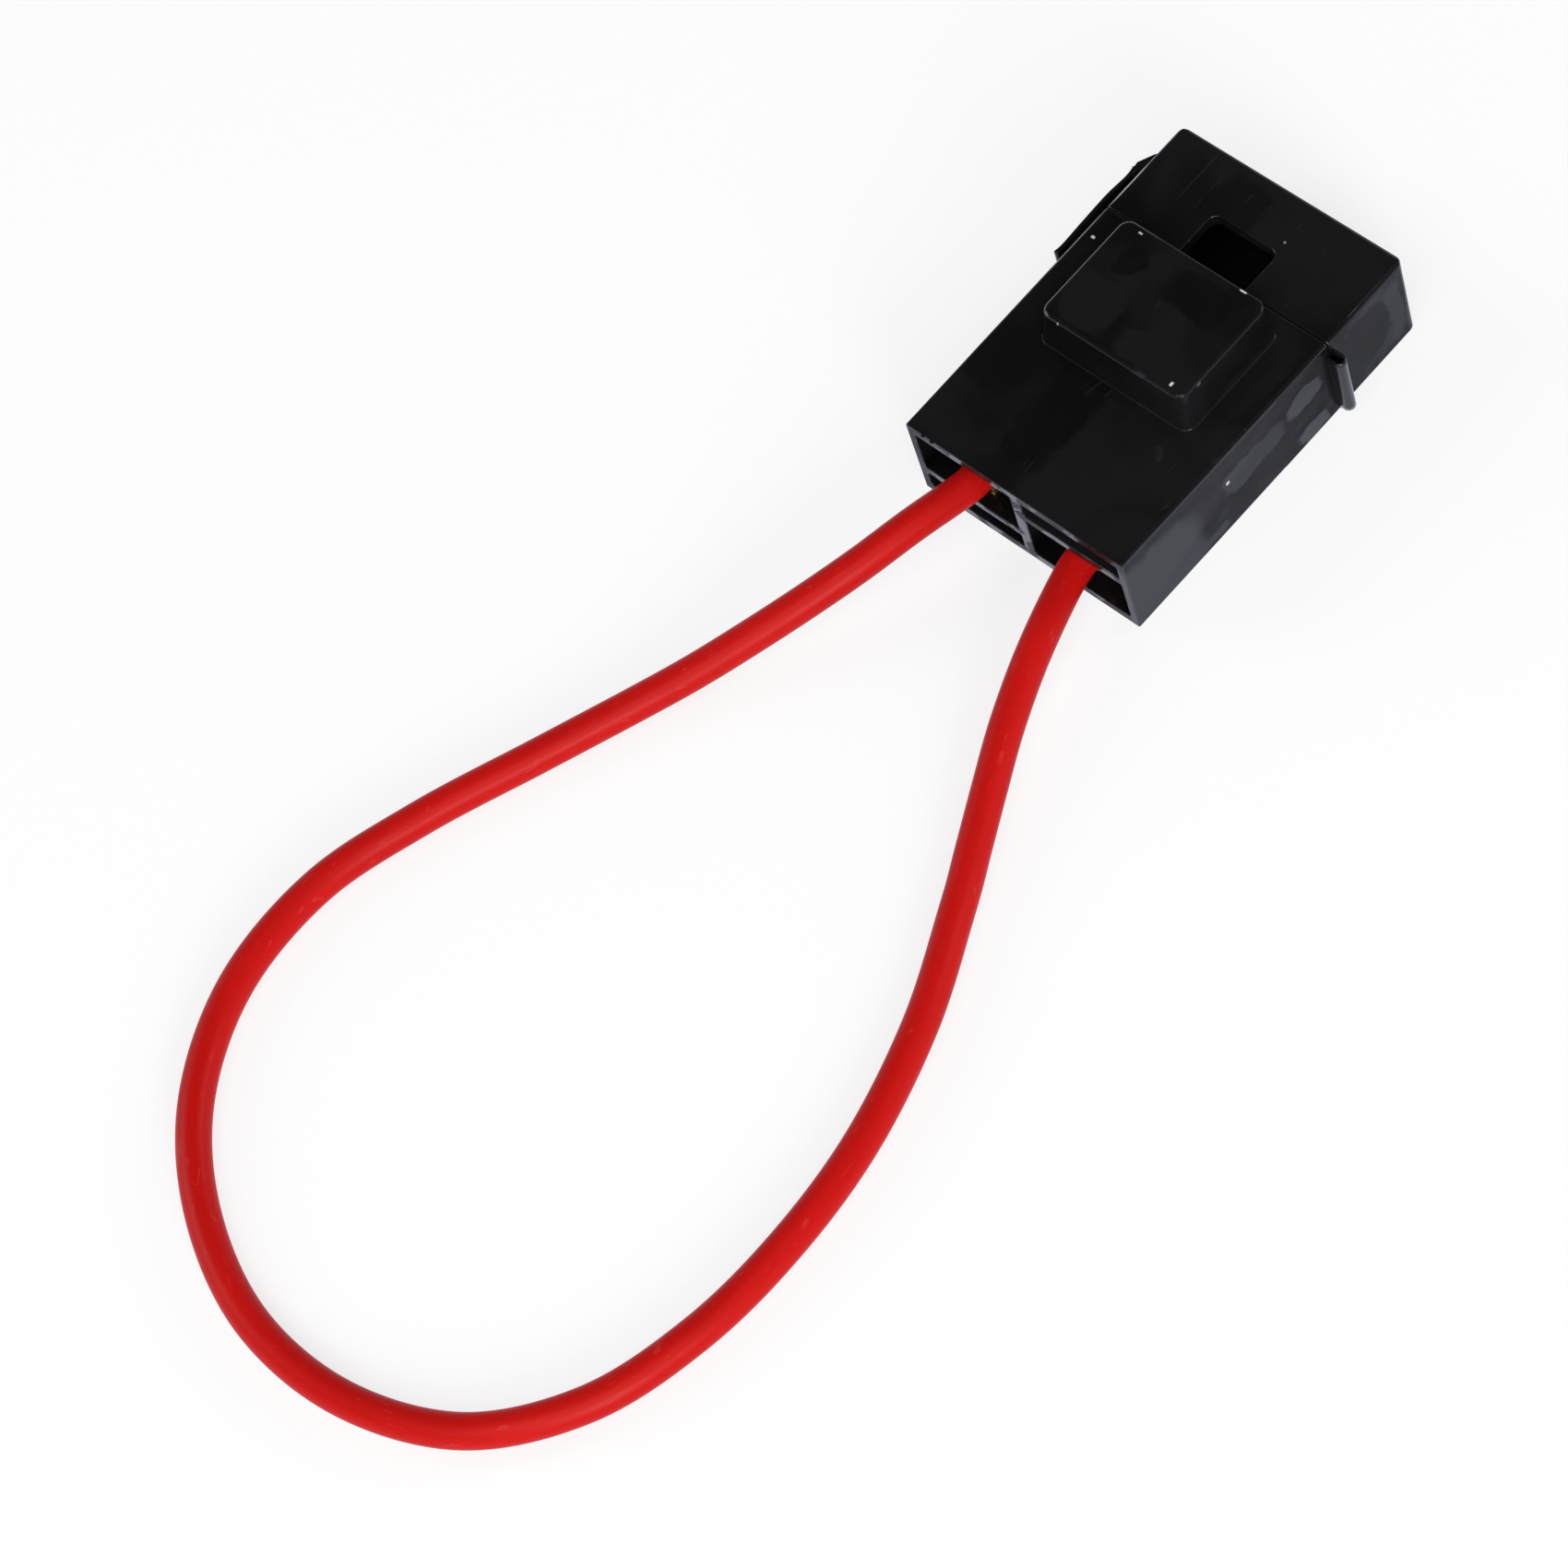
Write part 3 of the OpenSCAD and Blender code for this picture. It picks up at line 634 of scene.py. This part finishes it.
# Marks that the photograph shows. Patches: place, reach and level, where a level below 0 clears what is there
bodyMarks = {
    "gloss": [((0.0120, -0.0050, 0.0049), (0.0012, 0.0130, 0.0060), -0.45),
              ((0.0120, -0.0175, 0.0020), (0.0010, 0.0096, 0.0072), 0.46),
              ((0.0120, 0.0044, 0.0064), (0.0010, 0.0024, 0.0012), 0.70),
              ((0.0120, 0.0046, 0.0012), (0.0010, 0.0021, 0.0010), 0.72),
              ((0.0120, -0.0020, 0.0056), (0.0014, 0.0044, 0.0017), 0.43),
              ((0.0120, -0.0084, 0.0012), (0.0014, 0.0020, 0.0006), 0.40),
              ((0.0, -0.0126, 0.0049), (0.0108, 0.0050, 0.0040), -1.0),
              ((0.0, -0.0182, 0.0049), (0.0130, 0.0004, 0.0060), 1.0),
              ((0.0085, -0.0182, 0.0095), (0.0016, 0.0006, 0.0009), -1.0)],
    "edges": [((0.0010, -0.0052, 0.0137), (0.0078, 0.0012, 0.0012), -0.45),
              ((0.0078, 0.0008, 0.0137), (0.0012, 0.0060, 0.0012), -0.55),
              ((0.0020, 0.0064, 0.0137), (0.0070, 0.0012, 0.0012), -0.65),
              ((0.0076, -0.0050, 0.0136), (0.0014, 0.0014, 0.0014), -0.6),
              ((0.0086, -0.0179, 0.0097), (0.0030, 0.0014, 0.0012), -0.9)],
    # painted reflections on the top faces of the body and boss: spots that lighten or darken the base colour
    "hazeAndPaintedReflection": [((-0.0020, -0.0100, 0.0098), (0.0028, 0.0066, 0.0006), -1.0),
             ((-0.0091, -0.0080, 0.0098), (0.0030, 0.0040, 0.0006), -0.7),
             ((0.0060, -0.0090, 0.0098), (0.0040, 0.0060, 0.0006), 0.8),
             ((0.0092, 0.0020, 0.0098), (0.0022, 0.0050, 0.0006), 0.9),
             ((-0.0045, 0.0034, 0.0138), (0.0012, 0.0016, 0.0006), -1.0),
             ((0.0026, 0.0036, 0.0138), (0.0034, 0.0022, 0.0006), -1.0),
             ((-0.0045, -0.0016, 0.0138), (0.0030, 0.0030, 0.0006), 1.0),
             ((0.0030, -0.0028, 0.0138), (0.0040, 0.0018, 0.0006), 1.0)],
    # specks: real dust specks, and painted highlights: glints on the boss's back edge and back-left corner, and the
    # long strip along the left top edge
    "specksAndPaintedGlints": [((-0.01089, 0.00497, 0.0098), (0.00024, 0.00017, 0.0002), 1.0),
               ((0.00602, -0.00391, 0.0138), (0.00016, 0.00026, 0.0002), 1.0),
               ((-0.00558, 0.00582, 0.0138), (0.00026, 0.00012, 0.0002), 0.7),
               ((-0.00560, -0.00480, 0.0137), (0.00012, 0.00016, 0.0003), 0.35),
               ((0.00790, -0.00250, 0.0136), (0.00030, 0.00030, 0.0004), 0.12),
               ((0.0120, -0.00546, 0.00605), (0.00020, 0.00026, 0.00024), 0.9),
               ((0.00512, 0.00628, 0.0137), (0.00044, 0.00014, 0.0003), 1.0),
               ((-0.01192, 0.0036, 0.00972), (0.00022, 0.0042, 0.00022), 0.30)],
}
capMarks = {
    "gloss": [((0.0120, 0.0125, 0.0055), (0.0010, 0.0026, 0.0034), -0.9),
              ((0.0120, 0.0098, 0.0040), (0.0010, 0.0016, 0.0040), -0.5),
              ((0.0120, 0.0158, 0.0049), (0.0010, 0.0011, 0.0045), 0.3)],
    "edges": [((0.0119, 0.0130, 0.0097), (0.0010, 0.0050, 0.0010), -0.4)],
    # painted reflections on the cap's top face: spots that lighten or darken the base colour
    "hazeAndPaintedReflection": [((0.0065, 0.0125, 0.0098), (0.0040, 0.0045, 0.0006), 0.6),
             ((-0.0030, 0.0140, 0.0098), (0.0030, 0.0030, 0.0006), -0.6)],
    # specks: real specks, and a painted highlight: the long strip along the cap's left top edge
    "specksAndPaintedGlints": [((0.00275, 0.01361, 0.0098), (0.00014, 0.00014, 0.0002), 0.35),
               ((-0.00393, 0.0093, 0.0098), (0.00012, 0.00022, 0.0002), 0.12),
               ((-0.0075, 0.0148, 0.0098), (0.00006, 0.0034, 0.0002), 0.02),
               ((-0.01192, 0.0108, 0.00972), (0.00024, 0.0028, 0.00024), 0.70)],
}
hingeMarks = {
    "gloss": [((0.0136, 0.0080, 0.0049), (0.0030, 0.0040, 0.0080), 0.90)],
    "edges": [],
    "hazeAndPaintedReflection": [],
    "specksAndPaintedGlints": [],
}

bodyPlastic = plasticMaterial("bodyPlastic", blackPlastic, bodyMarks)
dress(bodyPiece, bodyPlastic)
dress(capPiece, plasticMaterial("capPlastic", blackPlastic, capMarks))
dress(hingePiece, plasticMaterial("hingePlastic", blackPlastic, hingeMarks))
for piece in flashPieces:
    dress(piece, bodyPlastic)

# Brass strip of the terminals
brassStrip = {
    "colour": (0.78, 0.56, 0.24, 1),
    "tarnish": (0.5, 0.3, 0.1, 1),
    "roughness": (0.24, 0.45),
}


def brassMaterial(spec):
    material, tree, shader = newMaterial("brassStrip", {"Metallic": 1.0})
    place = addNode(tree, "TexCoord").outputs["Object"]
    edge = addNode(tree, "Attribute", {"attribute_name": "brokenEdge"}).outputs["Fac"]
    stain = useGroup(tree, glossPatches, {"Vector": place, "Scale": 220.0, "Level": 0.6, "Softness": 0.2})["Mask"]
    scuffs = useGroup(tree, hairScuffs, {"Vector": place, "Scale": 900.0, "Width": 0.03, "Share": 0.45})["Mask"]
    worn = useGroup(tree, edgeWear, {"Vector": place, "Edge": edge, "Scale": 2500.0, "Share": 0.40})["Mask"]
    dull = sumNode(tree, "MULTIPLY", stain, sumNode(tree, "SUBTRACT", 1.0, worn))
    tree.links.new(mixColour(tree, dull, spec["colour"], spec["tarnish"]), shader["Base Color"])
    matt = sumNode(tree, "MAXIMUM", dull, scuffs)
    tree.links.new(spread(tree, matt, spec["roughness"]), shader["Roughness"])
    relief = useGroup(tree, skinRelief, {"Vector": place, "Wave Scale": 900.0, "Wave": 0.4,
                                         "Grain Scale": 9000.0, "Grain": 0.4})["Height"]
    tree.links.new(bumpNode(tree, relief, 0.000012), shader["Normal"])
    return material


# Bare copper of the strands
copperStrand = {
    "colour": (0.86, 0.42, 0.22, 1),
    "oxide": (0.42, 0.15, 0.07, 1),
    "roughness": (0.2, 0.42),
}


def copperMaterial(spec):
    material, tree, shader = newMaterial("copperStrand", {"Metallic": 1.0})
    place = addNode(tree, "TexCoord").outputs["Object"]
    stain = useGroup(tree, glossPatches, {"Vector": place, "Scale": 900.0, "Level": 0.5, "Softness": 0.2})["Mask"]
    tree.links.new(mixColour(tree, stain, spec["colour"], spec["oxide"]), shader["Base Color"])
    tree.links.new(spread(tree, stain, spec["roughness"]), shader["Roughness"])
    relief = useGroup(tree, skinRelief, {"Vector": place, "Wave Scale": 2500.0, "Wave": 0.3,
                                         "Grain Scale": 14000.0, "Grain": 0.3})["Height"]
    tree.links.new(bumpNode(tree, relief, 0.00001), shader["Normal"])
    return material


brassFinish = brassMaterial(brassStrip)
copperFinish = copperMaterial(copperStrand)
for piece in brassPieces:
    dress(piece, brassFinish)
for piece in strandPieces:
    dress(piece, copperFinish)

# Red insulation of the wire
redInsulation = {
    "colour": (0.475, 0.0060, 0.0045, 1),
    "deep": (0.415, 0.0045, 0.0035, 1),
    "chalk": (0.56, 0.055, 0.045, 1),
    "specular": 0.09,
    "roughness": (0.38, 0.6),
}


def insulationMaterial(spec):
    material, tree, shader = newMaterial("redInsulation", {"Specular IOR Level": spec["specular"]})
    straight = addNode(tree, "Attribute", {"attribute_name": "straightPlace"}).outputs["Vector"]
    drawn = vectorNode(tree, "MULTIPLY", straight, (0.12, 1.0, 1.0))
    cloud = useGroup(tree, glossPatches, {"Vector": drawn, "Scale": 520.0, "Level": 0.5, "Softness": 0.3})["Mask"]
    scuffs = useGroup(tree, hairScuffs, {"Vector": straight, "Stretch": (0.15, 1, 1), "Scale": 700.0,
                                         "Width": 0.02, "Share": 0.56})["Mask"]
    flecks = useGroup(tree, dustFlecks, {"Vector": straight, "Scale": 520.0, "Share": 0.04, "Size": 0.06})["Mask"]
    colour = mixColour(tree, cloud, spec["deep"], spec["colour"])
    marks = sumNode(tree, "MAXIMUM", sumNode(tree, "MULTIPLY", scuffs, 0.3), sumNode(tree, "MULTIPLY", flecks, 0.5))
    tree.links.new(mixColour(tree, marks, colour, spec["chalk"]), shader["Base Color"])
    tree.links.new(spread(tree, marks, spec["roughness"]), shader["Roughness"])
    relief = useGroup(tree, skinRelief, {"Vector": drawn, "Wave Scale": 260.0, "Wave": 0.8,
                                         "Grain Scale": 5200.0, "Grain": 0.12})["Height"]
    tree.links.new(bumpNode(tree, relief, 0.00004), shader["Normal"])
    return material


dress(wirePiece, insulationMaterial(redInsulation))
print("finishes made")

# Table: a pale sheet that keeps a soft shadow
tableTop = {
    "size": 3.0,
    "drop": 0.00002,
    "colour": (0.92, 0.92, 0.92, 1),
    "seenGlow": (1.0, 1.0, 1.0, 1),
    "mirroredGlow": (0.83, 0.87, 1.07, 1),
    "glowShare": 0.74,
}


def addTable(spec):
    bm = bmesh.new()
    bmesh.ops.create_grid(bm, x_segments=1, y_segments=1, size=spec["size"] / 2)
    mesh = bpy.data.meshes.new("paleTable")
    bm.to_mesh(mesh)
    bm.free()
    table = bpy.data.objects.new("paleTable", mesh)
    table.location.z = -spec["drop"]
    scene.collection.objects.link(table)
    material = bpy.data.materials.new("paleTable")
    material.use_nodes = True
    tree = material.node_tree
    tree.nodes.clear()
    paint = addNode(tree, "BsdfDiffuse", inputs={"Color": spec["colour"]})
    path = addNode(tree, "LightPath").outputs
    glow = mixColour(tree, path["Is Camera Ray"], spec["mirroredGlow"], spec["seenGlow"])
    glow = addNode(tree, "Emission", inputs={"Color": glow, "Strength": 1.0})
    seen = sumNode(tree, "MAXIMUM", path["Is Camera Ray"],
                   sumNode(tree, "MAXIMUM", path["Is Glossy Ray"], path["Is Transmission Ray"]))
    share = sumNode(tree, "MULTIPLY", seen, spec["glowShare"])
    mix = addNode(tree, "MixShader", inputs={0: share, 1: paint.outputs[0], 2: glow.outputs[0]})
    out = addNode(tree, "OutputMaterial")
    tree.links.new(mix.outputs[0], out.inputs["Surface"])
    table.data.materials.append(material)


addTable(tableTop)

# Studio light: a dim room that is paler low down, and soft boxes at the sides
studio = {
    "zenith": (0.10, 0.10, 0.11, 1),
    "horizon": (0.85, 0.86, 0.88, 1),
    "boxes": [
        {"name": "rightBox", "towards": (0.80, -0.45, 0.40), "far": 0.9, "size": 0.32, "power": 4.6},
        {"name": "topBox", "towards": (0.35, -0.45, 0.82), "far": 1.2, "size": 0.95, "power": 7.6},
        {"name": "leftBox", "towards": (-0.75, -0.45, 0.50), "far": 1.0, "size": 0.5, "power": 3.0},
        {"name": "backBox", "towards": (0.35, 0.80, 0.50), "far": 1.1, "size": 0.5, "power": 3.0},
    ],
}


def addStudio(spec):
    world = bpy.data.worlds.new("dimStudio")
    scene.world = world
    world.use_nodes = True
    tree = world.node_tree
    tree.nodes.clear()
    aim = addNode(tree, "SeparateXYZ", inputs={0: addNode(tree, "TexCoord").outputs["Generated"]}).outputs["Z"]
    high = rampNode(tree, aim, 0.12, 0.55)
    sky = addNode(tree, "Background", inputs={"Color": mixColour(tree, high, spec["horizon"], spec["zenith"])})
    out = addNode(tree, "OutputWorld")
    tree.links.new(sky.outputs[0], out.inputs["Surface"])
    for box in spec["boxes"]:
        lamp = bpy.data.lights.new(box["name"], "AREA")
        lamp.size = box["size"]
        lamp.energy = box["power"]
        holder = bpy.data.objects.new(box["name"], lamp)
        towards = Vector(box["towards"]).normalized()
        holder.location = towards * box["far"]
        holder.rotation_mode = "QUATERNION"
        holder.rotation_quaternion = towards.to_track_quat("Z", "Y")
        scene.collection.objects.link(holder)


addStudio(studio)
scene.view_settings.view_transform = "Standard"
print("table and lights set")
